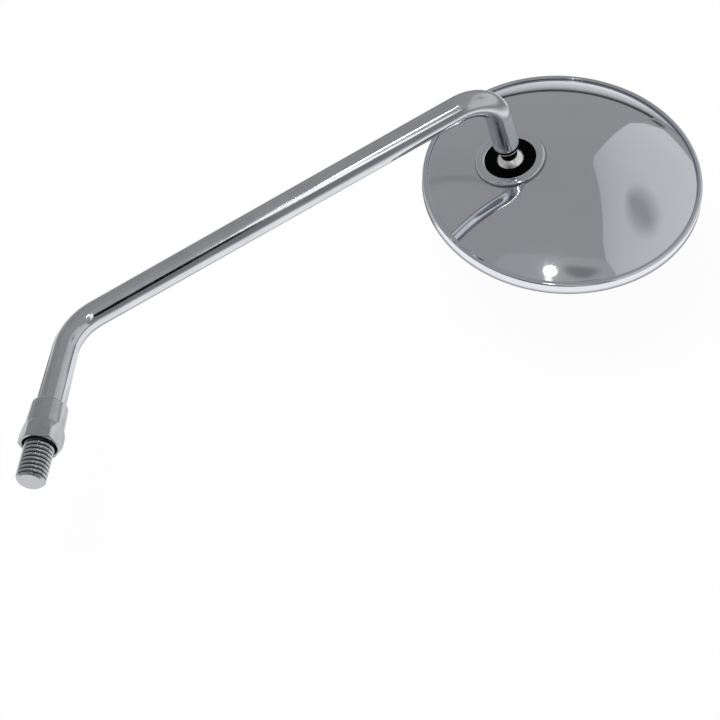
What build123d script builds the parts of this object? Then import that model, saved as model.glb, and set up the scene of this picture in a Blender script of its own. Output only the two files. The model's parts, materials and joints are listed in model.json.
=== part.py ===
from build123d import *
from math import acos, asin, atan2, cos, degrees, radians, sin, sqrt, tan
import os

os.makedirs("parts", exist_ok=True)

# Round motorcycle mirror: a domed chrome head on a ball joint, at the end of a bent rod with an M10 stud.
# It lies as it comes to rest, back up, on its bezel and a flat of its lock nut.
# The origin is on the stud's axis at the lock nut's face.
# The stud points to -Y and the head is on the +X side.
# Lengths are in millimetres and angles in degrees.

# Bent rod
rod_radius = 4.5
shank_radius = 4.9  # the thread runs out to this at the top of the lock nut
lower_run = 48.2  # lock nut's face to the corner of the lower bend
long_run = 159.6  # corner to corner
stub_run = 37.9  # corner of the upper bend to the ball's centre
lower_bend_radius = 21.5
stub_lean = 13.1  # stub from the head's axis
upper_bend_radius = 12.0
bend_lead = 1.0  # straight left between the lower bend and the swell
run_heading = 32.4  # long run seen from above, from +X towards +Y

# Threaded stud, drawn at its major diameter
stud_radius = 5.0
stud_length = 13.5
stud_chamfer = 0.9

# Lock nut
nut_flats = 13.0
hex_height = 7.0
hex_chamfer_angle = 30.0  # at the seating face
hex_shoulder_angle = 72.0  # where the corners run out into the collar
collar_height = 8.8
collar_base_radius = 6.4
collar_top_radius = 6.0
collar_round = 0.7
nut_clearance = 0.1  # between bore and thread
collar_clearance = 0.2  # between counterbore and thread
countersink = 0.4

# Ball end of the rod
ball_radius = 5.5
neck_radius = 3.0
neck_top = 7.9  # above the ball's centre
rod_end_radius = 3.5
rod_end_round = 3.2

# Head
head_radius = 49.0
dome_height = 17.8  # top of the dome above the bezel's front face
flare_radius = 0.5  # hollow bend from dome to flange
shell_wall = 0.8
joint_lean = 12.1  # joint axis from the head's axis
joint_heading = 191.6  # lean seen from above, from +X towards +Y

# Bezel
bezel_wall = 0.8
bezel_round = 1.0
front_lip = 3.4  # from the outside to the lip's edge
back_lip = 1.35
glass_thickness = 2.0
glass_chamfer = 0.3
seal_thickness = 0.6
seal_band = 0.7  # rubber round the glass edge
seal_width = 4.6
seat_gap = 0.05  # between pieces that are pressed or dropped together

# Ball socket, along the joint axis from the ball's centre
socket_clearance = 0.1
ball_sink = 2.6  # ball's centre below the dome's outer face
seat_top = 2.85
seat_flange_top = 2.15
seat_radius = 9.9
ring_lip_radius = 9.0
ring_outer_radius = 12.2
ring_edge = 1.0  # height of the ring's outer edge on the dome
ring_round = 0.4
ring_crown = 0.3  # how far the ring stands above the seat
spigot_wall = 0.65
swage_width = 1.1
swage_height = 0.9
cup_wall = 1.4
cup_top = 2.6  # below the ball's centre

# Clamp behind the joint
plate_thickness = 1.0
plate_radius = 17.5
boss_radius = 2.6
screw_circle = 14.5
screw_count = 3
first_screw = 60.0  # from the side nearest the rim
screw_radius = 1.5
screw_head_radius = 2.75
screw_head_height = 1.6
screw_slot = 0.7
screw_length = 5.0
screw_thread_gap = 0.03
screw_hole_gap = 0.2
washer_thickness = 0.6
washer_radius = 2.6
clamp_thickness = 0.8
clamp_drop = 4.2  # clamp plate's top face below the ball's centre
clamp_hub_radius = 9.5
clamp_preload = 0.3  # left between boss and clamp plate

# Heights in the bezel, from its front face
glass_back = bezel_wall + glass_thickness
flange_underside = glass_back + seal_thickness
flange_top = flange_underside + shell_wall
bezel_height = flange_top + bezel_wall
bezel_bore = head_radius - bezel_wall
inner_round = bezel_round - bezel_wall

# Dome: a sphere that meets the flange through the flare
flange_rim = head_radius - bezel_round - seat_gap
flare_foot = head_radius - back_lip - seat_gap
flare_rise = flange_top + flare_radius - dome_height
dome_radius = (flare_foot**2 + flare_rise**2 - flare_radius**2) / (2 * (flare_radius - flare_rise))
dome_centre = dome_height - dome_radius
flare_angle = degrees(atan2(flange_top + flare_radius - dome_centre, flare_foot))

# Ball centre in the head, and the dome's centre seen from the joint
joint_drop = dome_radius - ball_sink
joint_offset = joint_drop * sin(radians(joint_lean))
ball_height = dome_centre + joint_drop * cos(radians(joint_lean))

# Lie of the rod: its long run rises until the bezel and the nut's lower flat lie on one plane
lean = radians(joint_lean)
rod_lean = radians(stub_lean)
heading = radians(run_heading)
lean_heading = radians(joint_heading)
rest_level = -nut_flats / 2
rise = asin((rest_level + ball_height + stub_run * cos(rod_lean)) / long_run)

stud_axis = Vector(0, 1, 0)
run_axis = Vector(cos(rise) * cos(heading), cos(rise) * sin(heading), sin(rise))
lean_way = Vector(cos(lean_heading), sin(lean_heading), 0)
joint_axis = lean_way * sin(lean) + Vector(0, 0, cos(lean))
stub_axis = lean_way * sin(rod_lean) + Vector(0, 0, cos(rod_lean))
lower_corner = stud_axis * lower_run
upper_corner = lower_corner + run_axis * long_run
ball_centre = upper_corner - stub_axis * stub_run
head_centre = ball_centre - lean_way * joint_offset - Vector(0, 0, ball_height)

stud_plane = Plane(origin=(0, 0, 0), x_dir=(1, 0, 0), z_dir=stud_axis)
stub_plane = Plane(origin=ball_centre, z_dir=stub_axis)
head_plane = Plane(origin=head_centre)
joint_plane = Plane(
    origin=ball_centre,
    x_dir=lean_way * cos(lean) - Vector(0, 0, sin(lean)),
    z_dir=joint_axis,
)


def turned(*edges):
    """A solid of revolution from a closed outline of radius and height."""
    return revolve(Plane.XZ * make_face(edges), Axis.Z)


def outline(*points):
    """Straight edges through the points."""
    return [Line(a, b) for a, b in zip(points, points[1:])]


def dome_level(radius, sphere):
    """Height above the ball's centre of a sphere about the dome's centre, at a radius from the joint axis."""
    return sqrt(sphere**2 - radius**2) - joint_drop


def dome_arc(inner, outer, sphere):
    """Arc of such a sphere between two radii from the joint axis."""
    low = degrees(acos(outer / sphere))
    high = degrees(acos(inner / sphere))
    return CenterArc((0, -joint_drop), sphere, low, high - low)


def at_screws(shape):
    """Copies of a shape at the clamp screws' places round the joint axis."""
    return list(PolarLocations(screw_circle, screw_count, start_angle=first_screw) * shape)


def make_ball_end():
    """Ball, neck and rounded rod end, turned about the stub's axis."""
    neck_foot = sqrt(ball_radius**2 - neck_radius**2)
    neck_angle = degrees(atan2(neck_foot, neck_radius))
    round_top = neck_top + rod_end_round
    return turned(
        CenterArc((0, 0), ball_radius, -90, 90 + neck_angle),
        Line((neck_radius, neck_foot), (neck_radius, neck_top)),
        Line((neck_radius, neck_top), (rod_end_radius, neck_top)),
        TangentArc((rod_radius, round_top), (rod_end_radius, neck_top), tangent=(0, -1)),
        Line((rod_radius, round_top), (0, round_top)),
        Line((0, round_top), (0, -ball_radius)),
    )


def make_stem():
    """Bent rod with the ball at one end and the stud at the other."""
    collar_top = hex_height + collar_height
    half_turn = stud_axis.get_angle(run_axis) / 2
    swell_top = lower_run - lower_bend_radius * tan(radians(half_turn)) - bend_lead
    route = FilletPolyline(
        ball_centre + stub_axis * (neck_top + rod_end_round),
        upper_corner,
        lower_corner,
        stud_axis * swell_top,
        radius=[upper_bend_radius, lower_bend_radius],
    )
    rod = sweep((route ^ 0) * Circle(rod_radius), path=route)
    tip_radius = stud_radius - stud_chamfer
    shoulder = stud_chamfer - stud_length
    stud = turned(
        *outline(
            (0, -stud_length),
            (tip_radius, -stud_length),
            (stud_radius, shoulder),
            (stud_radius, 0),
            (shank_radius, collar_top),
            (rod_radius, swell_top),
            (0, swell_top),
            (0, -stud_length),
        )
    )
    return rod + stub_plane * make_ball_end() + stud_plane * stud


def make_lock_nut():
    """Hexagon with a tapered collar that covers the thread's end."""
    bore = stud_radius + nut_clearance
    counterbore = stud_radius + collar_clearance
    collar_top = hex_height + collar_height
    corner = nut_flats / 2 / cos(radians(30))
    bevel = (corner - nut_flats / 2) * tan(radians(hex_chamfer_angle))
    shoulder = (corner - nut_flats / 2) * tan(radians(hex_shoulder_angle))
    hexagon = extrude(RegularPolygon(nut_flats / 2, 6, major_radius=False), hex_height)
    hexagon &= turned(
        *outline(
            (0, 0),
            (nut_flats / 2, 0),
            (corner, bevel),
            (corner, hex_height - shoulder),
            (nut_flats / 2, hex_height),
            (0, hex_height),
            (0, 0),
        )
    )
    collar = Pos(0, 0, hex_height) * Cone(
        collar_base_radius, collar_top_radius, collar_height, align=(Align.CENTER, Align.CENTER, Align.MIN)
    )
    collar = fillet(collar.edges().sort_by(Axis.Z)[-1], collar_round)
    hollow = turned(
        *outline(
            (0, 0),
            (bore + countersink, 0),
            (bore, countersink),
            (bore, hex_height),
            (counterbore, hex_height),
            (counterbore, collar_top),
            (0, collar_top),
            (0, 0),
        )
    )
    return stud_plane * (hexagon + collar - hollow)


def make_shell():
    """Pressed dome with a flange, pierced for the joint."""
    flare_centre = (flare_foot, flange_top + flare_radius)
    turn = 90 - flare_angle
    dome = turned(
        CenterArc((0, dome_centre), dome_radius, flare_angle, turn),
        CenterArc(flare_centre, flare_radius, flare_angle + 180, turn),
        *outline(
            (flare_foot, flange_top),
            (flange_rim, flange_top),
            (flange_rim, flange_underside),
            (flare_foot, flange_underside),
        ),
        CenterArc(flare_centre, flare_radius + shell_wall, flare_angle + 180, turn),
        CenterArc((0, dome_centre), dome_radius - shell_wall, flare_angle, turn),
        Line((0, dome_height - shell_wall), (0, dome_height)),
    )
    hole = Cylinder(seat_radius + 2 * seat_gap + spigot_wall, 2 * dome_height)
    return head_plane * dome - joint_plane * hole


def make_bezel():
    """Channel ring rolled round the glass, its seal and the shell's flange."""
    wall_top = bezel_height - bezel_round
    turn_radius = head_radius - bezel_round
    front_edge = head_radius - front_lip
    back_edge = head_radius - back_lip
    half_wall = bezel_wall / 2
    back_inside = bezel_height - bezel_wall
    return head_plane * turned(
        Line((front_edge, 0), (turn_radius, 0)),
        CenterArc((turn_radius, bezel_round), bezel_round, 270, 90),
        Line((head_radius, bezel_round), (head_radius, wall_top)),
        CenterArc((turn_radius, wall_top), bezel_round, 0, 90),
        Line((turn_radius, bezel_height), (back_edge, bezel_height)),
        CenterArc((back_edge, bezel_height - half_wall), half_wall, 90, 180),
        Line((back_edge, back_inside), (turn_radius, back_inside)),
        CenterArc((turn_radius, wall_top), inner_round, 0, 90),
        Line((bezel_bore, wall_top), (bezel_bore, bezel_round)),
        CenterArc((turn_radius, bezel_round), inner_round, 270, 90),
        Line((turn_radius, bezel_wall), (front_edge, bezel_wall)),
        CenterArc((front_edge, half_wall), half_wall, 90, 180),
    )


def glass_radius():
    """Edge of the glass, inside the seal's band."""
    return bezel_bore - seal_band - 2 * seat_gap


def make_glass():
    """Silvered disc behind the bezel's front lip."""
    disc = Cylinder(glass_radius(), glass_thickness, align=(Align.CENTER, Align.CENTER, Align.MIN))
    return head_plane * Pos(0, 0, bezel_wall) * chamfer(disc.edges(), glass_chamfer)


def make_seal():
    """Rubber ring of angle section, behind the glass and round its edge."""
    band_outer = bezel_bore - seat_gap
    band_inner = glass_radius() + seat_gap
    return head_plane * turned(
        *outline(
            (band_outer, bezel_round + seat_gap),
            (band_outer, flange_underside),
            (band_outer - seal_width, flange_underside),
            (band_outer - seal_width, glass_back),
            (band_inner, glass_back),
            (band_inner, bezel_round + seat_gap),
            (band_outer, bezel_round + seat_gap),
        )
    )


def make_socket_ring():
    """Chrome ring whose spigot is swaged behind the inner plate."""
    bore = seat_radius + seat_gap
    spigot = bore + spigot_wall
    swage = spigot + swage_width
    under_plate = dome_radius - shell_wall - plate_thickness
    lip_bottom = seat_flange_top + seat_gap
    edge_foot = dome_level(ring_outer_radius, dome_radius)
    crown = (ring_lip_radius + (ring_outer_radius - ring_lip_radius) / 3, seat_top + ring_crown)
    swage_bottom = dome_level(swage, under_plate) - swage_height
    ring = turned(
        Line((ring_lip_radius, lip_bottom), (ring_lip_radius, seat_top)),
        ThreePointArc((ring_lip_radius, seat_top), crown, (ring_outer_radius, edge_foot + ring_edge)),
        Line((ring_outer_radius, edge_foot + ring_edge), (ring_outer_radius, edge_foot)),
        dome_arc(spigot, ring_outer_radius, dome_radius),
        Line((spigot, dome_level(spigot, dome_radius)), (spigot, dome_level(spigot, under_plate))),
        dome_arc(spigot, swage, under_plate),
        *outline(
            (swage, dome_level(swage, under_plate)),
            (swage, swage_bottom),
            (bore, swage_bottom),
            (bore, lip_bottom),
            (ring_lip_radius, lip_bottom),
        ),
    )
    circles = ring.edges().filter_by(lambda edge: edge.is_closed)
    rim = circles.group_by(SortBy.RADIUS)[-1].sort_by(Axis.Z)[-1]
    return joint_plane * fillet(rim, ring_round)


def make_ball_seat():
    """Black upper half of the socket, trapped under the ring's lip."""
    cavity = ball_radius + socket_clearance
    mouth = sqrt(cavity**2 - seat_top**2)
    boss = ring_lip_radius - seat_gap
    return joint_plane * turned(
        CenterArc((0, 0), cavity, 0, degrees(asin(seat_top / cavity))),
        *outline(
            (mouth, seat_top),
            (boss, seat_top),
            (boss, seat_flange_top),
            (seat_radius, seat_flange_top),
            (seat_radius, 0),
            (cavity, 0),
        ),
    )


def make_ball_cup():
    """Floating lower half of the socket, between the ball and the clamp plate's dimple."""
    inside = ball_radius + socket_clearance
    outside = inside + cup_wall
    inner_turn = 90 - degrees(asin(cup_top / inside))
    outer_turn = 90 - degrees(asin(cup_top / outside))
    return joint_plane * turned(
        CenterArc((0, 0), inside, -90, inner_turn),
        Line((sqrt(inside**2 - cup_top**2), -cup_top), (sqrt(outside**2 - cup_top**2), -cup_top)),
        CenterArc((0, 0), outside, -90, outer_turn),
        Line((0, -outside), (0, -inside)),
    )


def make_inner_plate():
    """Dished plate inside the dome, with a tapped boss for each clamp screw."""
    top = dome_radius - shell_wall
    under = top - plate_thickness
    hole = seat_radius + 2 * seat_gap + spigot_wall
    plate = turned(
        dome_arc(hole, plate_radius, top),
        Line((plate_radius, dome_level(plate_radius, top)), (plate_radius, dome_level(plate_radius, under))),
        dome_arc(hole, plate_radius, under),
        Line((hole, dome_level(hole, under)), (hole, dome_level(hole, top))),
    )
    boss_end = clamp_preload - clamp_drop
    tap_top = screw_tip() + plate_thickness / 2
    upright = (Align.CENTER, Align.CENTER, Align.MIN)
    boss = Pos(0, 0, boss_end) * Cylinder(boss_radius, -2 * boss_end, align=upright)
    bosses = Part() + at_screws(boss)
    bosses &= Pos(0, 0, -joint_drop) * Sphere(under + plate_thickness / 2)
    tap = Pos(0, 0, boss_end) * Cylinder(screw_radius + screw_thread_gap, tap_top - boss_end, align=upright)
    return joint_plane * (plate + bosses - at_screws(tap))


def make_clamp_plate():
    """Spring plate with three arms and a dimple that holds the cup to the ball."""
    dimple = ball_radius + cup_wall + 2 * socket_clearance
    arm = Pos(screw_circle / 2, 0) * Rectangle(screw_circle, 2 * screw_head_radius)
    arms = list(PolarLocations(0, screw_count, start_angle=first_screw) * arm)
    pads = at_screws(Circle(screw_head_radius))
    holes = at_screws(Circle(screw_radius + screw_hole_gap))
    flat = Circle(clamp_hub_radius) + arms + pads - holes
    plate = Pos(0, 0, -clamp_drop) * extrude(flat, -clamp_thickness)
    below = Pos(0, 0, -clamp_drop) * Cylinder(
        clamp_hub_radius, 2 * dimple, align=(Align.CENTER, Align.CENTER, Align.MAX)
    )
    bowl = Sphere(dimple + clamp_thickness) & below
    return joint_plane * (plate + bowl - Sphere(dimple))


def screw_seat():
    """Level of the screw heads' undersides."""
    return -clamp_drop - clamp_thickness - washer_thickness


def screw_tip():
    """Level of the screws' ends."""
    return screw_seat() + screw_length


def make_clamp_screws():
    """Slotted screws that draw the clamp plate up."""
    upright = (Align.CENTER, Align.CENTER, Align.MIN)
    head = Cylinder(screw_head_radius, screw_head_height, align=upright)
    shank = Pos(0, 0, screw_head_height) * Cylinder(screw_radius, screw_length, align=upright)
    slot = Box(2 * screw_head_radius, screw_slot, screw_head_height)
    screw = head + shank - slot
    return joint_plane * (Part() + at_screws(Pos(0, 0, screw_seat() - screw_head_height) * screw))


def make_spring_washers():
    """Washers between the screw heads and the clamp plate."""
    ring = Circle(washer_radius) - Circle(screw_radius + screw_hole_gap)
    washer = Pos(0, 0, screw_seat()) * extrude(ring, washer_thickness)
    return joint_plane * (Part() + at_screws(washer))


parts = {
    "stem": make_stem(),
    "lock_nut": make_lock_nut(),
    "shell": make_shell(),
    "bezel": make_bezel(),
    "mirror_glass": make_glass(),
    "glass_seal": make_seal(),
    "socket_ring": make_socket_ring(),
    "ball_seat": make_ball_seat(),
    "ball_cup": make_ball_cup(),
    "inner_plate": make_inner_plate(),
    "clamp_plate": make_clamp_plate(),
    "clamp_screws": make_clamp_screws(),
    "spring_washers": make_spring_washers(),
}
for name, shape in parts.items():
    export_step(shape, f"parts/{name}.step")
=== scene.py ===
import bmesh
import bpy
import json
from math import acos, asin, atan2, cos, degrees, pi, radians, sin, sqrt, tan
from mathutils import Matrix, Vector


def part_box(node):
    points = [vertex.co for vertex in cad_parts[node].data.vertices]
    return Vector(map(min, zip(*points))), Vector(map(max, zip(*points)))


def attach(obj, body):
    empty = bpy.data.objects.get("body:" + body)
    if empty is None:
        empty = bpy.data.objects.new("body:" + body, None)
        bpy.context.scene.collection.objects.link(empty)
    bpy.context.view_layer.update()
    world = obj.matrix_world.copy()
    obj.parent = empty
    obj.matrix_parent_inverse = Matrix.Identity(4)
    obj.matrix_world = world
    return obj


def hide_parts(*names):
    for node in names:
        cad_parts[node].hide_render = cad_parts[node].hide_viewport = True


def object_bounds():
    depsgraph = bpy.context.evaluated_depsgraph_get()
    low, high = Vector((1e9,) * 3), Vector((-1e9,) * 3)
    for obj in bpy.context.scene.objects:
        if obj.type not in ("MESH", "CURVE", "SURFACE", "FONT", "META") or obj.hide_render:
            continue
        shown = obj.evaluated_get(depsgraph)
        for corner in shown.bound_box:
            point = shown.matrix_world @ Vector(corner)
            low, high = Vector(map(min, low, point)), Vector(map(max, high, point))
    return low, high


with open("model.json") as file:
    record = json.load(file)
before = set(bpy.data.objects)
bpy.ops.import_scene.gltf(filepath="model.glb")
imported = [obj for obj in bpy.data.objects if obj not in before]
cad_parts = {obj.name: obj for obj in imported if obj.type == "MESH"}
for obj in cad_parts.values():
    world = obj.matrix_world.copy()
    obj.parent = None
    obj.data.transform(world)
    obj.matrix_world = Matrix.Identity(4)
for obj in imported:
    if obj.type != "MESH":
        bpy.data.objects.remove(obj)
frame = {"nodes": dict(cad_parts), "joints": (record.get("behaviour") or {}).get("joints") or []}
cad_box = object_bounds()

# Round motorcycle mirror, lying back up on its bezel and a flat of its lock nut.
# Lengths are in millimetres and angles in degrees, and meshes are made in metres.
millimetre = 0.001

# Bent rod
rod_radius = 4.5
shank_radius = 4.9
lower_run = 48.2
stub_run = 37.9
stub_lean = 13.1
lower_bend_radius = 16.5
upper_bend_radius = 12.0
bend_lead = 1.0
bend_haze = (8.0, 17.0)

# Threaded stud
stud_radius = 5.0
stud_length = 13.5
stud_chamfer = 0.9
thread_pitch = 1.5
thread_depth = 0.48
crest_sharpness = 0.85
runout_start = 2.0
runout_end = 7.0
tip_margin = 0.5
# Painted shade in the thread roots reaches this height above the root
root_shade_height = 0.3
# Painted shade on the stud where the nut covers it
under_nut = (-0.5, 0.0, 4.0, 5.0)  # where the nut's cover starts, is full, ebbs and ends

# Lock nut
nut_flats = 13.0
hex_height = 7.0
hex_chamfer_angle = 30.0
hex_shoulder_angle = 72.0
collar_top = 15.8
collar_base_radius = 6.4
collar_top_radius = 6.0
collar_round = 0.7
nut_bore = 5.1
counterbore = 5.2
countersink = 0.8
corner_sharpness = 60.0

# Ball end of the rod
ball_radius = 5.5
neck_radius = 3.0
neck_top = 7.9
rod_end_radius = 3.5
rod_end_round = 3.2
ball_margin = 0.1
ball_pole = 0.5

# Head
dome_height = 17.8
flare_radius = 0.5
shell_wall = 0.8
bezel_wall = 0.8
bezel_round = 1.0
front_lip = 3.4
back_lip = 1.35
back_lip_round = 0.15
lip_fullness = 0.98
seat_gap = 0.05

# Ball socket, along the joint axis from the ball's centre
ball_sink = 2.6
socket_clearance = 0.1
seat_top = 2.85
seat_flange_top = 2.15
seat_radius = 9.9
ring_lip_radius = 9.0
ring_outer_radius = 12.2
ring_edge = 1.0
ring_round = 0.8
ring_crown = 0.42
ring_lip_round = 0.3
spigot_wall = 0.65
swage_width = 1.1
swage_height = 0.9
plate_thickness = 1.0
edge_round = 0.12
seam_shade_and_dirt = (0.03, 0.06, 0.18, 0.36)  # off the ring's edge: where the painted shade and dirt start, are full, ebb and end

# Fineness of the meshes
rod_segments = 96
nut_segments = 360
head_segments = 288
socket_segments = 192
arc_steps = 10
bend_steps = 30
dome_rings = 44
thread_steps = 16
row_height = 0.1
run_step = 4.0
crease_angle = 32.0
surround_sides = 64
surround_rows = 16

# Finish of duller places on the chrome, and of painted shade in the thread roots, under the nut, in the
# bore's mouth and, with some dirt, in the seam round the ring
stud_finish = {"Base_Color": (0.64, 0.65, 0.67, 1), "Roughness": 0.13}
root_shade_finish = {"Base_Color": (0.015, 0.015, 0.016, 1), "Roughness": 0.35}
nut_shadow_finish = {"Base_Color": (0.02, 0.02, 0.021, 1), "Roughness": 0.4}
ball_finish = {"Base_Color": (0.95, 0.95, 0.96, 1), "Roughness": 0.3}
bend_finish = {"Roughness": 0.22}
seam_shade_and_dirt_finish = {"Base_Color": (0.2, 0.2, 0.21, 1), "Roughness": 0.3}
mouth_shade_finish = {"Base_Color": (0.015, 0.015, 0.016, 1), "Roughness": 0.5}
film_roughness = 0.2
noise_span = (0.3, 0.7)
noise_detail = 3.0

# Camera, aimed at a point level with the object's foot
aim = Vector((95.81, 51.45, -6.5))
aim_distance = 707.3
view_azimuth = 8.456
view_elevation = 53.535
view_roll = -1.021
lens_length = 107.02

# Studio: surround and lights by azimuth from +Y towards +X and elevation
studio_radius = 2500.0
surround_level = 0.355
key_azimuth = -176.5
key_elevation = 69.1
key_distance = 2020.0
key_size = (205.0, 160.0)
key_watts = 1.0
soft_azimuth = -60.0
soft_elevation = 62.0
soft_distance = 1500.0
soft_size = (1000.0, 1000.0)
soft_watts = 9.0
sky_strength = 0.65

# Floors: the eye sees one that lies lower, and gloss sees one at the object's foot
floor_tone = 0.93
floor_glow = 0.95
floor_drop = 30.0
sheen_gap = (3.0, 2.0)
contact_reach = 1.7
contact_power = 3.0

# Fields of the surround: azimuth, half width, elevation, half height, lean, share of soft edge, level
surround_fields = (
    (180.0, 50.0, 15.0, 38.0, 0.0, 0.5, 0.235),
    (190.0, 14.0, 10.0, 18.0, 0.0, 0.4, 0.05),
    (178.0, 62.0, 62.0, 14.5, 0.0, 0.05, 0.405),
    (147.0, 12.0, 67.0, 4.2, 3.0, 0.45, 0.23),
    (168.7, 5.8, 51.0, 18.5, 1.05, 0.3, 1.5),
    (169.0, 6.2, 37.0, 12.0, 0.3, 0.15, 0.002),
    (-47.0, 7.0, 30.0, 24.0, 0.0, 0.8, 0.34),
    (-53.0, 2.0, 35.0, 24.0, 0.2, 0.8, 0.29),
    (20.7, 1.8, 2.3, 1.2, 0.0, 0.5, 0.03),
)

# Light flat on the right, square to its azimuth, with a darker patch
flat_azimuth = 82.0
flat_distance = 500.0
flat_corners = (
    (-700, 100), (520, 100), (800, 75), (940, 170), (1050, 310), (1150, 1340),
    (1050, 1460), (400, 1385), (-150, 1350), (-335, 1220), (-390, 900), (-700, 900),
)
flat_fade = (100.0, 1410.0)
flat_levels = (0.7, 0.5)
patch_place = (190.0, 655.0)
patch_slant = (84.0, 84.0)
patch_reach = (242.0, 470.0)
patch_level = 0.35

# Dark strip at the foot of the far wall
strip_place = 425.0
strip_ends = (-250.0, 270.0)
strip_height = 12.6
strip_level = 0.02

# Pools of light on the floor as gloss shows them: middle, stretch along Y, then distance and level
pools = (
    (
        (70, 80), 1.6,
        ((0, 1.08), (83, 1.05), (104, 0.82), (130, 0.54), (152, 0.47), (183, 0.41), (700, 0.23)),
    ),
    ((175, 130), 1.0, ((0, 1.15), (70, 1.1), (92, 0.7), (136, 0.56), (228, 0.26), (700, 0.06))),
    ((5, 0), 1.0, ((0, 0.82), (30, 0.78), (55, 0.45), (120, 0.05))),
)

# Shades of the rod's long run on that floor: shift by height, level, then start and end of the fade
rod_shades = (
    (0.0, 0.55, 5.0, 9.0),
    (0.4, 0.35, 4.0, 8.0),
)

# Places read from the frame
swivel = next(joint for joint in frame["joints"] if joint["name"] == "head_swivel")
ball_centre = Vector(swivel["pos_m"]) / millimetre
joint_axis = Vector(swivel["axis"]).normalized()
bezel_low, bezel_high = (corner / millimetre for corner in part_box("bezel"))
head_centre = (bezel_low + bezel_high) / 2
head_centre.z = bezel_low.z
head_radius = (bezel_high.x - bezel_low.x) / 2
bezel_height = bezel_high.z - bezel_low.z
up = Vector((0, 0, 1))
stud_axis = Vector((0, 1, 0))
lower_corner = stud_axis * lower_run
lean_way = Vector((joint_axis.x, joint_axis.y, 0)).normalized()
stub_axis = lean_way * sin(radians(stub_lean)) + up * cos(radians(stub_lean))
upper_corner = ball_centre + stub_axis * stub_run
run_axis = (upper_corner - lower_corner).normalized()

# Dome: a sphere that meets the flange through the flare
flange_top = bezel_height - bezel_wall
flange_rim = head_radius - bezel_round - seat_gap
flare_foot = head_radius - back_lip - seat_gap
flare_rise = flange_top + flare_radius - dome_height
dome_radius = (flare_foot**2 + flare_rise**2 - flare_radius**2) / (2 * (flare_radius - flare_rise))
dome_centre = dome_height - dome_radius
flare_angle = degrees(atan2(flange_top + flare_radius - dome_centre, flare_foot))
joint_drop = dome_radius - ball_sink


def lying(origin, axis, across):
    """Matrix of a local frame with its height along the axis."""
    return Matrix.Translation(origin) @ Matrix((across, axis.cross(across), axis)).transposed().to_4x4()


head_place = Matrix.Translation(head_centre)
joint_place = lying(ball_centre, joint_axis, stud_axis.cross(joint_axis).normalized())
stud_place = lying(Vector((0, 0, 0)), stud_axis, Vector((1, 0, 0)))


def spread(low, high, steps):
    """Evenly spaced values with both ends."""
    return [low + (high - low) * step / steps for step in range(steps + 1)]


def turn_angles(segments):
    """Angles of the points round a ring."""
    return [2 * pi * step / segments for step in range(segments)]


def arc(centre, radius, start, turn, steps=arc_steps):
    """Points of an arc in a section of radius and height."""
    angles = [radians(angle) for angle in spread(start, start + turn, steps)]
    return [(centre[0] + radius * cos(angle), centre[1] + radius * sin(angle)) for angle in angles]


def arc_through(start, middle, end):
    """Points of the arc through three points of a section."""
    first = Vector(middle) - Vector(start)
    second = Vector(end) - Vector(start)
    scale = 2 * first.cross(second)
    offset = Vector((
        second.y * first.length_squared - first.y * second.length_squared,
        first.x * second.length_squared - second.x * first.length_squared,
    )) / scale
    centre = Vector(start) + offset
    begin = degrees(atan2(start[1] - centre.y, start[0] - centre.x))
    finish = degrees(atan2(end[1] - centre.y, end[0] - centre.x))
    return arc(centre, offset.length, begin, finish - begin)


def rounded(corners):
    """Closed section through corners of radius, height and edge round."""
    section = []
    for index, (radius, height, edge) in enumerate(corners):
        corner = Vector((radius, height))
        if edge == 0:
            section.append(corner)
            continue
        back = (Vector(corners[index - 1][:2]) - corner).normalized()
        ahead = (Vector(corners[(index + 1) % len(corners)][:2]) - corner).normalized()
        half = back.angle(ahead) / 2
        centre = corner + (back + ahead).normalized() * edge / sin(half)
        first = corner + back * edge / tan(half) - centre
        last = corner + ahead * edge / tan(half) - centre
        for share in spread(0, 1, arc_steps):
            section.append(centre + first.slerp(last, share) * edge)
    return section


def plain(points):
    """Section points as corners without an edge round."""
    return [(point[0], point[1], 0) for point in points]


def circle(place, radius, height, segments):
    """Ring of points about a frame's axis."""
    return [
        place @ Vector((radius * cos(angle), radius * sin(angle), height))
        for angle in turn_angles(segments)
    ]


def turned(place, section, segments):
    """Rings of a section turned about a frame's axis."""
    return [circle(place, radius, height, segments) for radius, height in section]


def skin(name, rings, looped):
    """Smooth object through rings of as many points each."""
    count = len(rings[0])
    points = [point * millimetre for ring in rings for point in ring]
    spans = len(rings) if looped else len(rings) - 1
    faces = []
    for span in range(spans):
        near = span * count
        far = (span + 1) % len(rings) * count
        for step in range(count):
            after = (step + 1) % count
            faces.append((near + step, near + after, far + after, far + step))
    if not looped:
        faces.append(tuple(range(count)))
        faces.append(tuple(range(len(points) - count, len(points))))
    mesh = bpy.data.meshes.new(name)
    mesh.from_pydata(points, [], faces)
    form = bmesh.new()
    form.from_mesh(mesh)
    bmesh.ops.recalc_face_normals(form, faces=form.faces)
    form.to_mesh(mesh)
    form.free()
    mesh.shade_smooth()
    mesh.set_sharp_from_angle(angle=radians(crease_angle))
    piece = bpy.data.objects.new(name, mesh)
    bpy.context.scene.collection.objects.link(piece)
    return piece


def stand_for(piece, node, body, material):
    """Dresses a piece and lets it stand for a node."""
    piece.data.materials.append(material)
    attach(piece, body)
    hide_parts(node)


def thread_radius(level, angle):
    """Radius of the stud at a level on its axis and an angle round it."""
    crest = stud_radius
    if level > 0:
        crest -= (stud_radius - shank_radius) * level / collar_top
    highest = asin(crest_sharpness)
    fall = (1 + asin(crest_sharpness * cos(2 * pi * level / thread_pitch - angle)) / highest) / 2
    fade = min(max((runout_end - level) / (runout_end - runout_start), 0), 1)
    cone = stud_radius - stud_chamfer + level + stud_length
    return min(crest - thread_depth * fade * fall, cone)


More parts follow.
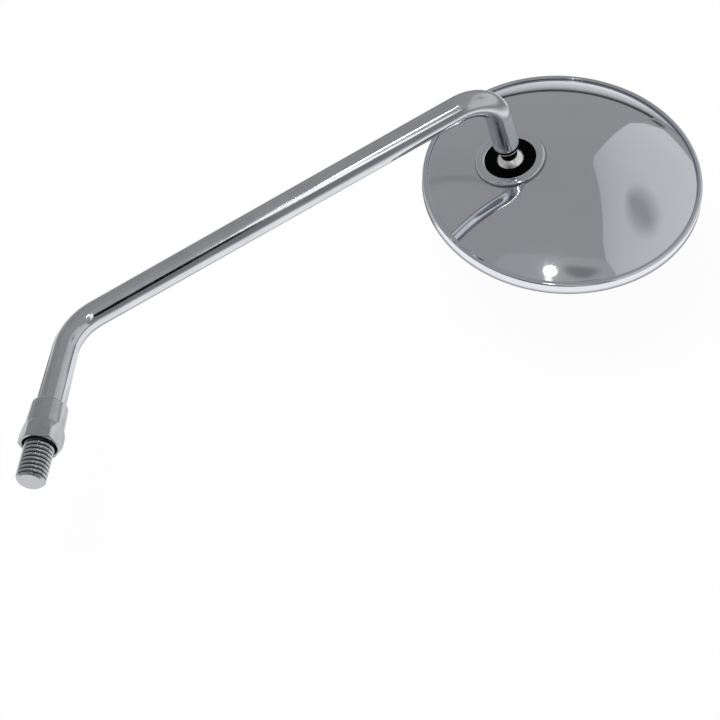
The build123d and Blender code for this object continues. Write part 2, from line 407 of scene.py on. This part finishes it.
def thread_rings():
    """Rings of the stud from its tip to the thread's end under the nut."""
    steps = round((stud_length + runout_end) / thread_pitch * thread_steps)
    rings = []
    for level in spread(-stud_length, runout_end, steps):
        ring = []
        for angle in turn_angles(rod_segments):
            radius = thread_radius(level, angle)
            ring.append(stud_place @ Vector((radius * cos(angle), radius * sin(angle), level)))
        rings.append(ring)
    return rings


def bend_places(place, corner, new_axis, radius):
    """Frames along a bend of the rod, carried round without twist."""
    axis = place.col[2].xyz
    turn = axis.angle(new_axis)
    hinge = axis.cross(new_axis).normalized()
    start = corner - axis * radius * tan(turn / 2)
    centre = start + hinge.cross(axis) * radius
    first = place.copy()
    first.translation = start
    there = Matrix.Translation(centre)
    return [
        there @ Matrix.Rotation(angle, 4, hinge) @ there.inverted() @ first
        for angle in spread(0, turn, bend_steps)
    ]


def run_places(first, last):
    """Frames along a straight run, both ends left out."""
    length = (last.translation - first.translation).length
    shares = spread(0, 1, max(1, round(length / run_step)))[1:-1]
    places = []
    for share in shares:
        place = first.copy()
        place.translation = first.translation.lerp(last.translation, share)
        places.append(place)
    return places


def ball_section():
    """Rod end, neck and ball as radius and height above the ball's centre."""
    shrink = rod_radius - rod_end_radius
    end_arc = (rod_end_round**2 + shrink**2) / (2 * shrink)
    end_turn = degrees(asin(rod_end_round / end_arc))
    end_centre = (rod_radius - end_arc, neck_top + rod_end_round)
    neck_angle = degrees(acos(neck_radius / ball_radius))
    lowest = ball_pole - 90
    return (
        arc(end_centre, end_arc, 0, -end_turn)
        + [(neck_radius, neck_top)]
        + arc((0, 0), ball_radius, neck_angle, lowest - neck_angle, bend_steps)
    )


def make_stem():
    """Bent rod with a rolled thread at one end and the ball at the other."""
    reach = lower_bend_radius * tan(stud_axis.angle(run_axis) / 2)
    swell_top = lower_run - reach - bend_lead
    rings = thread_rings()
    rings.append(circle(stud_place, shank_radius, collar_top, rod_segments))
    for share in spread(0, 1, arc_steps)[1:]:
        radius = shank_radius + (rod_radius - shank_radius) * share * share * (3 - 2 * share)
        level = collar_top + (swell_top - collar_top) * share
        rings.append(circle(stud_place, radius, level, rod_segments))
    lower_bend = bend_places(stud_place, lower_corner, run_axis, lower_bend_radius)
    upper_bend = bend_places(lower_bend[-1], upper_corner, -stub_axis, upper_bend_radius)
    end_place = upper_bend[-1].copy()
    end_place.translation = ball_centre + stub_axis * (neck_top + rod_end_round)
    places = lower_bend + run_places(lower_bend[-1], upper_bend[0]) + upper_bend
    places += run_places(upper_bend[-1], end_place)
    rings += [circle(place, rod_radius, 0, rod_segments) for place in places]
    end_place.translation = ball_centre
    rings += [circle(end_place, radius, -height, rod_segments) for radius, height in ball_section()]
    return skin("bent_rod", rings, looped=False)


def hex_radius(angle, level):
    """Radius of the nut's hexagon with its bevel and shoulder, softly joined."""
    apothem = nut_flats / 2
    limits = [
        apothem + level / tan(radians(hex_chamfer_angle)),
        apothem + (hex_height - level) / tan(radians(hex_shoulder_angle)),
    ]
    for flat in range(6):
        facing = cos(angle - radians(60 * flat + 30))
        if facing > 0:
            limits.append(apothem / facing)
    nearest = min(limits)
    blend = sum((nearest / limit) ** corner_sharpness for limit in limits)
    return nearest * blend ** (-1 / corner_sharpness)


def make_lock_nut():
    """Hexagon with a tapered collar and a countersunk bore."""
    section = rounded([
        (collar_base_radius, hex_height, 0),
        (collar_top_radius, collar_top, collar_round),
        (counterbore, collar_top, edge_round / 2),
        (counterbore, hex_height, 0),
        (nut_bore, hex_height, 0),
        (nut_bore, countersink, 0),
        (nut_bore + countersink, 0, 0),
    ])
    rings = turned(stud_place, section, nut_segments)
    for level in spread(0, hex_height, round(hex_height / row_height)):
        ring = []
        for angle in turn_angles(nut_segments):
            radius = hex_radius(angle, level)
            ring.append(stud_place @ Vector((radius * cos(angle), radius * sin(angle), level)))
        rings.append(ring)
    return skin("hexagon_lock_nut", rings, looped=True)


def make_shell():
    """Pressed dome with a flange, its rings running out from the joint's hole to the rim."""
    sphere_centre = ball_centre - joint_axis * joint_drop
    hole = seat_radius + 2 * seat_gap + spigot_wall
    across = joint_place.col[0].xyz
    along = joint_place.col[1].xyz
    flare_centre = (flare_foot, flange_top + flare_radius)
    turn = 90 - flare_angle
    rim = arc(flare_centre, flare_radius, flare_angle + 180, turn)[1:]
    rim += [(flange_rim, flange_top), (flange_rim, flange_top - shell_wall)]
    rim += arc(flare_centre, flare_radius + shell_wall, 270, -turn)[:-1]
    rays = []
    for angle in turn_angles(head_segments):
        outward = across * cos(angle) + along * sin(angle)
        tilt = atan2(outward.dot(up), joint_axis.dot(up))
        size = Vector((outward.dot(up), joint_axis.dot(up))).length
        end = tilt + acos(cos(radians(turn)) / size)
        ray = []
        for sphere, order in ((dome_radius, 1), (dome_radius - shell_wall, -1)):
            shares = spread(asin(hole / sphere), end, dome_rings)[::order]
            leg = [
                sphere_centre + (joint_axis * cos(share) + outward * sin(share)) * sphere
                for share in shares
            ]
            if order == -1:
                edge = ray[-1] - head_centre
                heading = atan2(edge.y, edge.x)
                for radius, height in rim:
                    ray.append(head_centre + Vector((radius * cos(heading), radius * sin(heading), height)))
            ray += leg
        rays.append(ray)
    return skin("pressed_shell", [list(ring) for ring in zip(*rays)], looped=True)


def make_bezel():
    """Channel ring rolled round the glass and the shell's flange."""
    half_wall = bezel_wall / 2
    front_edge = head_radius - front_lip - half_wall
    back_edge = head_radius - back_lip - half_wall
    inside = head_radius - bezel_wall
    inner_round = bezel_round - bezel_wall
    lip_round = lip_fullness * half_wall
    section = rounded([
        (front_edge, 0, lip_round),
        (head_radius, 0, bezel_round),
        (head_radius, bezel_height, bezel_round),
        (back_edge, bezel_height, back_lip_round),
        (back_edge, flange_top, lip_round),
        (inside, flange_top, inner_round),
        (inside, bezel_wall, inner_round),
        (front_edge, bezel_wall, lip_round),
    ])
    return skin("rolled_bezel", turned(head_place, section, head_segments), looped=True)


def dome_level(radius, sphere):
    """Height above the ball's centre of a sphere about the dome's centre."""
    return sqrt(sphere**2 - radius**2) - joint_drop


def make_socket_ring():
    """Chrome ring round the joint, swaged behind the inner plate."""
    bore = seat_radius + seat_gap
    spigot = bore + spigot_wall
    swage = spigot + swage_width
    under_plate = dome_radius - shell_wall - plate_thickness
    lip_bottom = seat_flange_top + seat_gap
    edge_foot = dome_level(ring_outer_radius, dome_radius)
    edge_top = edge_foot + ring_edge
    crown = (ring_lip_radius + (ring_outer_radius - ring_lip_radius) / 3, seat_top + ring_crown)
    swage_bottom = dome_level(swage, under_plate) - swage_height
    top = arc_through((ring_lip_radius, seat_top), crown, (ring_outer_radius, edge_top))
    section = rounded(
        [(ring_lip_radius, lip_bottom, 0), (ring_lip_radius, seat_top, ring_lip_round)]
        + plain(top[1:-2])
        + [
            (ring_outer_radius, edge_top, ring_round),
            (ring_outer_radius, edge_foot, 0),
            (spigot, dome_level(spigot, dome_radius), 0),
            (spigot, dome_level(spigot, under_plate), 0),
            (swage, dome_level(swage, under_plate), 0),
            (swage, swage_bottom, 0),
            (bore, swage_bottom, 0),
            (bore, lip_bottom, 0),
        ]
    )
    return skin("joint_ring", turned(joint_place, section, socket_segments), looped=True)


def make_ball_seat():
    """Black upper half of the socket with softened edges."""
    cavity = ball_radius + socket_clearance
    mouth_angle = degrees(asin(seat_top / cavity))
    boss = ring_lip_radius - seat_gap
    bowl = arc((0, 0), cavity, 0, mouth_angle)
    section = rounded(
        plain(bowl[:-1])
        + [
            (*bowl[-1], edge_round),
            (boss, seat_top, edge_round),
            (boss, seat_flange_top, 0),
            (seat_radius, seat_flange_top, 0),
            (seat_radius, 0, 0),
        ]
    )
    return skin("black_ball_seat", turned(joint_place, section, socket_segments), looped=True)


def add(tree, kind, **inputs):
    """A new node, with inputs set by value or linked from another node."""
    node = tree.nodes.new("ShaderNode" + kind)
    for name, value in inputs.items():
        socket = node.inputs[name.replace("_", " ")]
        if isinstance(value, bpy.types.NodeSocket):
            tree.links.new(value, socket)
        else:
            socket.default_value = value
    return node


def math(tree, operation, first, second=0.0):
    """Result of a sum on one or two values."""
    node = add(tree, "Math")
    node.operation = operation
    for socket, value in zip(node.inputs, (first, second)):
        if isinstance(value, bpy.types.NodeSocket):
            tree.links.new(value, socket)
        else:
            socket.default_value = value
    return node.outputs[0]


def own_place(tree):
    """The object's own coordinates."""
    return add(tree, "TexCoord").outputs["Object"]


def own_axes(tree):
    """The object's own coordinates, one by one."""
    return add(tree, "SeparateXYZ", Vector=own_place(tree)).outputs


def slant(tree, across, along):
    """Length of the slant of two legs."""
    squares = [math(tree, "MULTIPLY", leg, leg) for leg in (across, along)]
    return math(tree, "SQRT", math(tree, "ADD", *squares))


def new_finish(name, **inputs):
    """A material with its shader, its node tree and the object's own coordinates."""
    material = bpy.data.materials.new(name)
    material.use_nodes = True
    tree = material.node_tree
    shader = tree.nodes["Principled BSDF"]
    for socket, value in inputs.items():
        shader.inputs[socket.replace("_", " ")].default_value = value
    return material, tree, shader, own_place(tree)


def distance_to(tree, point):
    """Distance in metres from a point in millimetres."""
    node = add(tree, "VectorMath")
    node.operation = "DISTANCE"
    tree.links.new(own_place(tree), node.inputs[0])
    node.inputs[1].default_value = point * millimetre
    return node.outputs["Value"]


def noise(tree, place, size):
    """Soft noise with features of about the given size."""
    node = add(tree, "TexNoise", Vector=place, Scale=1 / (size * millimetre), Detail=noise_detail)
    return node.outputs["Fac"]


def levels(tree, value, low, high, start=noise_span[0], end=noise_span[1]):
    """A value spread over a range."""
    node = add(tree, "MapRange", Value=value, From_Min=start, From_Max=end, To_Min=low, To_Max=high)
    return node.outputs["Result"]


def within(tree, value, near, far):
    """One up to a near length in millimetres, none from a far one on."""
    return levels(tree, value, 1, 0, near * millimetre, far * millimetre)


def beyond(tree, value, near, far):
    """None up to a near length in millimetres, one from a far one on."""
    return levels(tree, value, 0, 1, near * millimetre, far * millimetre)


def between(tree, value, start, full, ebb, end):
    """One between two lengths in millimetres, with a fade on each side."""
    return math(tree, "MULTIPLY", beyond(tree, value, start, full), within(tree, value, ebb, end))


def tones(tree, value, dark, light):
    """A colour between two tones."""
    ramp = add(tree, "ValToRGB", Fac=value)
    for mark, position, tone in zip(ramp.color_ramp.elements, noise_span, (dark, light)):
        mark.position = position
        mark.color = (*tone, 1)
    return ramp.outputs["Color"]


def relief(tree, height, depth, under=None):
    """Surface relief of a depth in millimetres, over another relief if there is one."""
    node = add(tree, "Bump", Height=height, Distance=depth * millimetre)
    if under is not None:
        tree.links.new(under, node.inputs["Normal"])
    return node.outputs["Normal"]


def pits(tree, place, spacing, width):
    """Small round pits at random places."""
    cells = add(tree, "TexVoronoi", Vector=place, Scale=1 / (spacing * millimetre))
    return levels(tree, cells.outputs["Distance"], 0, 1, 0, width / spacing / 2)


def chrome(
    name, dark, light, gloss, haze_size, peel, peel_depth, pit_spacing, pit_width, pit_depth, film=0.0
):
    """Chrome plate with a faint haze, orange peel, pits and a dull film."""
    material, tree, shader, place = new_finish(
        name, Metallic=1.0, Coat_Weight=film, Coat_Roughness=film_roughness
    )
    haze = noise(tree, place, haze_size)
    tree.links.new(tones(tree, haze, dark, light), shader.inputs["Base Color"])
    tree.links.new(levels(tree, haze, *gloss), shader.inputs["Roughness"])
    skin_relief = relief(tree, noise(tree, place, peel), peel_depth)
    normal = relief(tree, pits(tree, place, pit_spacing, pit_width), pit_depth, skin_relief)
    tree.links.new(normal, shader.inputs["Normal"])
    return material


def grained(name, dark, light, gloss, cloud, grain, grain_depth, **inputs):
    """Plastic, rubber or plain steel with a cloudy tone and a fine grain."""
    material, tree, shader, place = new_finish(name, **inputs)
    haze = noise(tree, place, cloud)
    tree.links.new(tones(tree, haze, dark, light), shader.inputs["Base Color"])
    tree.links.new(levels(tree, haze, *gloss), shader.inputs["Roughness"])
    tree.links.new(relief(tree, noise(tree, place, grain), grain_depth), shader.inputs["Normal"])
    return material


def overlay(tree, mask, **covers):
    """Covers inputs of a finish where the mask is one."""
    shader = tree.nodes["Principled BSDF"]
    for name, value in covers.items():
        name = name.replace("_", " ")
        socket = shader.inputs[name]
        mix = add(tree, "Mix")
        mix.data_type = "RGBA" if name == "Base Color" else "FLOAT"
        factor, under, over = (each for each in mix.inputs if each.enabled)
        tree.links.new(mask, factor)
        tree.links.new(socket.links[0].from_socket, under)
        over.default_value = value
        tree.links.new(next(each for each in mix.outputs if each.enabled), socket)


def by_stud(tree):
    """Level along the stud's axis and distance from it, in metres."""
    axes = own_axes(tree)
    return axes["Y"], slant(tree, axes["X"], axes["Z"])


def finish_rod():
    """Chrome on the rod, with painted shade in the thread roots and on the stud where the nut covers it,
    and duller on the stud, the ball and the upper bend.
    """
    material = chrome(
        "rod_chrome", dark=(0.6, 0.618, 0.648), light=(0.69, 0.71, 0.745), gloss=(0.06, 0.12),
        haze_size=9, peel=2.4, peel_depth=0.011, pit_spacing=1.6, pit_width=0.5, pit_depth=0.009,
    )
    tree = material.node_tree
    level, from_axis = by_stud(tree)
    root = stud_radius - thread_depth
    stud = within(tree, level, runout_start, runout_end)
    off_tip = beyond(tree, level, tip_margin - stud_length, 2 * tip_margin - stud_length)
    # Painted shade in the thread roots, kept off the stud's tip
    low = within(tree, from_axis, root, root + root_shade_height)
    root_shade = math(tree, "MULTIPLY", math(tree, "MULTIPLY", low, stud), off_tip)
    # Painted shade on the stud inside and just under the nut
    nut_shadow = between(tree, level, *under_nut)
    ball = within(
        tree, distance_to(tree, ball_centre), ball_radius + ball_margin, ball_radius + 2 * ball_margin
    )
    bend = within(tree, distance_to(tree, upper_corner), *bend_haze)
    overlay(tree, stud, **stud_finish)
    overlay(tree, root_shade, **root_shade_finish)
    overlay(tree, nut_shadow, **nut_shadow_finish)
    overlay(tree, ball, **ball_finish)
    overlay(tree, bend, **bend_finish)
    return material


def finish_shell():
    """Chrome on the head's sheet parts, with painted shade and some dirt in the seam round the joint's
    ring.
    """
    material = chrome(
        "shell_chrome", dark=(0.658, 0.682, 0.727), light=(0.684, 0.708, 0.756), gloss=(0.03, 0.05),
        haze_size=22, peel=3.0, peel_depth=0.0012, pit_spacing=7.0, pit_width=0.4, pit_depth=0.003,
        film=1.0,
    )
    tree = material.node_tree
    seam = Vector((ring_outer_radius, dome_level(ring_outer_radius, dome_radius))).length
    # Painted shade, with some dirt, in the seam at the ring's foot
    shade_and_dirt = between(tree, distance_to(tree, ball_centre), *(seam + stop for stop in seam_shade_and_dirt))
    overlay(tree, shade_and_dirt, **seam_shade_and_dirt_finish)
    return material


def finish_nut():
    """Satin chrome on the lock nut, with painted shade in the mouth of its bore."""
    material = chrome(
        "nut_chrome", dark=(0.48, 0.495, 0.515), light=(0.6, 0.62, 0.645), gloss=(0.18, 0.26),
        haze_size=4, peel=0.9, peel_depth=0.006, pit_spacing=1.1, pit_width=0.4, pit_depth=0.008,
    )
    tree = material.node_tree
    level, from_axis = by_stud(tree)
    mouth = nut_bore + countersink
    near = within(tree, from_axis, mouth - countersink / 4, mouth)
    low = within(tree, level, countersink, 2 * countersink)
    # Painted shade in the countersunk mouth of the bore
    overlay(tree, math(tree, "MULTIPLY", near, low), **mouth_shade_finish)
    return material


def make_finishes():
    """All finishes by their slot."""
    return {
        "rod_chrome": finish_rod(),
        "shell_chrome": finish_shell(),
        "nut_chrome": finish_nut(),
        "seat_black": grained(
            "seat_black", dark=(0.0004, 0.0004, 0.0004), light=(0.0012, 0.0012, 0.0012), gloss=(0.1, 0.2),
            cloud=3.6, grain=0.6, grain_depth=0.003, Specular_IOR_Level=0.03,
        ),
        "cup_white": grained(
            "cup_white", dark=(0.72, 0.71, 0.66), light=(0.8, 0.79, 0.74), gloss=(0.35, 0.5),
            cloud=3.0, grain=0.5, grain_depth=0.004,
        ),
        "seal_rubber": grained(
            "seal_rubber", dark=(0.014, 0.014, 0.014), light=(0.026, 0.026, 0.026), gloss=(0.6, 0.8),
            cloud=2.4, grain=0.4, grain_depth=0.01,
        ),
        "mirror_face": chrome(
            "mirror_face", dark=(0.84, 0.865, 0.875), light=(0.88, 0.89, 0.9), gloss=(0.01, 0.025),
            haze_size=30, peel=12, peel_depth=0.0004, pit_spacing=25, pit_width=0.3, pit_depth=0.001,
        ),
        "zinc_steel": grained(
            "zinc_steel", dark=(0.5, 0.5, 0.48), light=(0.66, 0.66, 0.65), gloss=(0.25, 0.4),
            cloud=4.0, grain=0.5, grain_depth=0.004, Metallic=1.0,
        ),
        "spring_steel": grained(
            "spring_steel", dark=(0.12, 0.12, 0.15), light=(0.24, 0.24, 0.26), gloss=(0.28, 0.42),
            cloud=3.2, grain=0.4, grain_depth=0.003, Metallic=1.0,
        ),
    }


def dress_nodes(finishes):
    """Gives the plain nodes the finish of their slot."""
    kept = {
        "mirror_glass": "mirror_face",
        "glass_seal": "seal_rubber",
        "ball_cup": "cup_white",
        "inner_plate": "zinc_steel",
        "clamp_plate": "spring_steel",
        "clamp_screws": "zinc_steel",
        "spring_washers": "spring_steel",
    }
    for node, slot in kept.items():
        mesh = frame["nodes"][node].data
        mesh.materials.clear()
        mesh.materials.append(finishes[slot])


def toward(azimuth, elevation):
    """Unit vector to a place in the studio."""
    side = radians(azimuth)
    rise = radians(elevation)
    return Vector((sin(side) * cos(rise), cos(side) * cos(rise), sin(rise)))


def add_camera():
    """Camera at the photograph's viewing angle."""
    side = radians(view_azimuth)
    rise = radians(view_elevation)
    forward = Vector((-sin(side) * cos(rise), cos(side) * cos(rise), -sin(rise)))
    level = Vector((cos(side), sin(side), 0))
    right = Matrix.Rotation(radians(view_roll), 3, -forward) @ level
    data = bpy.data.cameras.new("camera")
    data.lens = lens_length
    camera = bpy.data.objects.new("camera", data)
    place = lying(aim - forward * aim_distance, -forward, right)
    place.translation *= millimetre
    camera.matrix_world = place
    bpy.context.scene.collection.objects.link(camera)
    bpy.context.scene.camera = camera


def add_lamp(name, azimuth, elevation, distance, size, watts):
    """Round lamp turned to the head."""
    data = bpy.data.lights.new(name, "AREA")
    data.shape = "ELLIPSE"
    data.size = size[0] * millimetre
    data.size_y = size[1] * millimetre
    data.energy = watts
    lamp = bpy.data.objects.new(name, data)
    way = toward(azimuth, elevation)
    lamp.location = (head_centre + way * distance) * millimetre
    lamp.rotation_euler = way.to_track_quat("Z", "Y").to_euler()
    lamp.visible_camera = False
    bpy.context.scene.collection.objects.link(lamp)
    return lamp


def stage_sheet(name, points, faces, material):
    """Sheet of the studio, which is no part of the object."""
    mesh = bpy.data.meshes.new(name)
    mesh.from_pydata([point * millimetre for point in points], [], faces)
    mesh.materials.append(material)
    sheet = bpy.data.objects.new(name, mesh)
    bpy.context.scene.collection.objects.link(sheet)
    return sheet


def bare_material(name):
    """A material with an empty node tree."""
    material = bpy.data.materials.new(name)
    material.use_nodes = True
    tree = material.node_tree
    tree.nodes.clear()
    return material, tree


def glow_material(name, strength):
    """Even light whose strength comes from the nodes that a function adds."""
    material, tree = bare_material(name)
    material.cycles.emission_sampling = "NONE"
    glow = add(tree, "Emission", Strength=strength(tree))
    tree.links.new(glow.outputs[0], add(tree, "OutputMaterial").inputs["Surface"])
    return material


def for_gloss_only(sheet):
    """Lets only reflections see a sheet of the studio."""
    sheet.visible_camera = False
    sheet.visible_diffuse = False
    sheet.visible_shadow = False
    sheet.visible_transmission = False


def mirrored_rays(tree, path):
    """One for rays from gloss and through glass."""
    return math(tree, "MAXIMUM", path["Is Glossy Ray"], path["Is Transmission Ray"])


def shade_strength(tree, place, shift, level, near, far):
    """Share of light that one shade of the rod's long run leaves on the floor."""
    foot = cad_box[0][2] / millimetre
    ends = [Vector((end.x, end.y + shift * (end.z - foot))) for end in (lower_corner, upper_corner)]
    way = (ends[1] - ends[0]).normalized()
    start = ends[0] * millimetre
    east = math(tree, "MULTIPLY", math(tree, "SUBTRACT", place["X"], start.x), way.y)
    north = math(tree, "MULTIPLY", math(tree, "SUBTRACT", place["Y"], start.y), way.x)
    distance = math(tree, "ABSOLUTE", math(tree, "SUBTRACT", east, north))
    return levels(tree, distance, level, 1, near * millimetre, far * millimetre)


def pool_strength(tree):
    """Light on the floor by distance from the pools, darker by the rod and at the contacts."""
    place = own_axes(tree)
    light = 0.0
    for middle, stretch, stops in pools:
        reach = stops[-1][0]
        across = math(tree, "SUBTRACT", place["X"], middle[0] * millimetre)
        along = math(tree, "SUBTRACT", place["Y"], middle[1] * millimetre)
        along = math(tree, "MULTIPLY", along, stretch)
        away = slant(tree, across, along)
        ramp = add(tree, "ValToRGB", Fac=math(tree, "DIVIDE", away, reach * millimetre))
        marks = ramp.color_ramp.elements
        marks.remove(marks[0])
        for distance, tone in stops:
            mark = marks.new(distance / reach) if distance < reach else marks[-1]
            mark.color = (tone, tone, tone, 1)
        light = math(tree, "MAXIMUM", ramp.outputs["Color"], light)
    for shade in rod_shades:
        light = math(tree, "MULTIPLY", light, shade_strength(tree, place, *shade))
    contact = add(tree, "AmbientOcclusion", Distance=contact_reach * millimetre)
    return math(tree, "MULTIPLY", light, math(tree, "POWER", contact.outputs["AO"], contact_power))


def floor_corners(level):
    """Corners of a wide level sheet, its face upward."""
    return [
        Vector((head_centre.x + side * studio_radius, head_centre.y + end * studio_radius, level))
        for side, end in ((-1, -1), (1, -1), (1, 1), (-1, 1))
    ]


def show_above(tree, shader, cleared=0.0):
    """Shows a shader on a sheet's upper side, clear where a mask is one."""
    below = add(tree, "NewGeometry").outputs["Backfacing"]
    mixed = add(tree, "MixShader", Fac=math(tree, "MAXIMUM", below, cleared))
    tree.links.new(shader.outputs[0], mixed.inputs[1])
    tree.links.new(add(tree, "BsdfTransparent").outputs[0], mixed.inputs[2])
    tree.links.new(mixed.outputs[0], add(tree, "OutputMaterial").inputs["Surface"])


def add_sheen():
    """Floor that gloss sees at the object's foot, open under the glass."""
    level = cad_box[0][2] / millimetre
    material, tree = bare_material("studio_sheen")
    middle = Vector((head_centre.x, head_centre.y, level))
    near, far = (head_radius - gap for gap in sheen_gap)
    opening = within(tree, distance_to(tree, middle), near, far)
    show_above(tree, add(tree, "Emission", Strength=pool_strength(tree)), opening)
    for_gloss_only(stage_sheet("studio_sheen", floor_corners(level), [(0, 1, 2, 3)], material))


def add_floor():
    """White floor that shows near white and keeps a light shadow, with room for the head to tilt."""
    level = cad_box[0][2] / millimetre - floor_drop
    material, tree = bare_material("studio_floor")
    path = add(tree, "LightPath").outputs
    mirrored = mirrored_rays(tree, path)
    seen = math(tree, "MULTIPLY", path["Is Camera Ray"], floor_glow)
    paint = add(tree, "BsdfDiffuse", Color=(floor_tone, floor_tone, floor_tone, 1))
    white = add(tree, "Emission")
    pool = add(tree, "Emission", Strength=pool_strength(tree))
    shader = paint
    for share, glow in ((seen, white), (mirrored, pool)):
        mixed = add(tree, "MixShader", Fac=share)
        tree.links.new(shader.outputs[0], mixed.inputs[1])
        tree.links.new(glow.outputs[0], mixed.inputs[2])
        shader = mixed
    show_above(tree, shader)
    stage_sheet("studio_floor", floor_corners(level), [(0, 1, 2, 3)], material)


def add_flat():
    """Light flat that stands on the right of the object."""
    way = toward(flat_azimuth, 0)
    along = toward(flat_azimuth - 90, 0)
    foot = head_centre + way * flat_distance
    corners = [foot + along * end + up * height for end, height in flat_corners]
    patch = foot + along * patch_place[0] + up * patch_place[1]
    lean = along * patch_slant[0] + up * patch_slant[1]

    def strength(tree):
        height = own_axes(tree)["Z"]
        low, high = (level * millimetre for level in flat_fade)
        plain_level = levels(tree, height, *flat_levels, low, high)
        ends = [distance_to(tree, patch + lean), distance_to(tree, patch - lean)]
        clear = beyond(tree, math(tree, "ADD", *ends), *patch_reach)
        gain = math(tree, "SUBTRACT", plain_level, patch_level)
        return math(tree, "ADD", math(tree, "MULTIPLY", gain, clear), patch_level)

    material = glow_material("studio_flat", strength)
    for_gloss_only(stage_sheet("studio_flat", corners, [range(len(corners))], material))


def add_strip():
    """Dark strip that stands at the foot of the far wall."""
    level = cad_box[0][2] / millimetre
    left, right = strip_ends
    top = level + strip_height
    corners = [
        Vector((side, strip_place, height))
        for side, height in ((left, level), (right, level), (right, top), (left, top))
    ]
    material = glow_material("studio_strip", lambda tree: strip_level)
    for_gloss_only(stage_sheet("studio_strip", corners, [(0, 1, 2, 3)], material))


def field_mask(tree, across, upright, soft):
    """One inside an oval field, with a soft edge."""
    reach = slant(tree, across, upright)
    node = add(tree, "MapRange", Value=reach, From_Min=1 + soft, From_Max=1 - soft)
    node.interpolation_type = "SMOOTHSTEP"
    return node.outputs["Result"]


def surround_strength(tree):
    """Grey with lighter and darker fields by direction."""
    way = add(tree, "VectorMath", Vector=own_place(tree))
    way.operation = "NORMALIZE"
    axes = add(tree, "SeparateXYZ", Vector=way.outputs["Vector"]).outputs
    azimuth = math(tree, "DEGREES", math(tree, "ARCTAN2", axes["X"], axes["Y"]))
    elevation = math(tree, "DEGREES", math(tree, "ARCSINE", axes["Z"]))
    level = surround_level
    for middle, half_width, height, half_height, lean, soft, tone in surround_fields:
        off_level = math(tree, "SUBTRACT", elevation, height)
        leaning = math(tree, "ADD", math(tree, "MULTIPLY", off_level, lean), middle)
        off_side = math(tree, "WRAP", math(tree, "SUBTRACT", azimuth, leaning), 180.0)
        off_side.node.inputs[2].default_value = -180.0
        across = math(tree, "DIVIDE", off_side, half_width)
        upright = math(tree, "DIVIDE", off_level, half_height)
        mask = field_mask(tree, across, upright, soft)
        change = math(tree, "MULTIPLY", mask, math(tree, "SUBTRACT", tone, level))
        level = math(tree, "ADD", level, change)
    return level


def add_surround():
    """Half globe round the set that only reflections see."""
    points = []
    for row in range(surround_rows):
        for side in range(surround_sides):
            way = toward(360 * side / surround_sides, 90 * row / surround_rows)
            points.append(way * studio_radius)
    faces = []
    for row in range(surround_rows - 1):
        near = row * surround_sides
        far = near + surround_sides
        for side in range(surround_sides):
            after = (side + 1) % surround_sides
            faces.append((near + side, near + after, far + after, far + side))
    faces.append(tuple(range(len(points) - surround_sides, len(points))))
    material = glow_material("studio_surround", surround_strength)
    globe = stage_sheet("studio_surround", points, faces, material)
    globe.location = head_centre * millimetre
    for_gloss_only(globe)


def add_sky():
    """White world for the eye, softer where it lights the object."""
    world = bpy.data.worlds.new("studio_sky")
    world.use_nodes = True
    tree = world.node_tree
    path = add(tree, "LightPath").outputs
    seen = math(tree, "MAXIMUM", path["Is Camera Ray"], mirrored_rays(tree, path))
    sky = tree.nodes["Background"]
    sky.inputs["Color"].default_value = (1, 1, 1, 1)
    tree.links.new(levels(tree, seen, sky_strength, 1, 0, 1), sky.inputs["Strength"])
    bpy.context.scene.world = world


finishes = make_finishes()
detailed = (
    (make_stem, "stem", "stem", "rod_chrome"),
    (make_lock_nut, "lock_nut", "lock_nut", "nut_chrome"),
    (make_shell, "shell", "head", "shell_chrome"),
    (make_bezel, "bezel", "head", "shell_chrome"),
    (make_socket_ring, "socket_ring", "head", "shell_chrome"),
    (make_ball_seat, "ball_seat", "ball_seat", "seat_black"),
)
for make, node, body, slot in detailed:
    stand_for(make(), node, body, finishes[slot])
dress_nodes(finishes)

add_camera()
add_floor()
add_sheen()
add_surround()
add_flat()
add_strip()
add_sky()
add_lamp("key_lamp", key_azimuth, key_elevation, key_distance, key_size, key_watts)
soft_lamp = add_lamp("soft_lamp", soft_azimuth, soft_elevation, soft_distance, soft_size, soft_watts)
soft_lamp.visible_glossy = False
bpy.context.scene.view_settings.view_transform = "Standard"
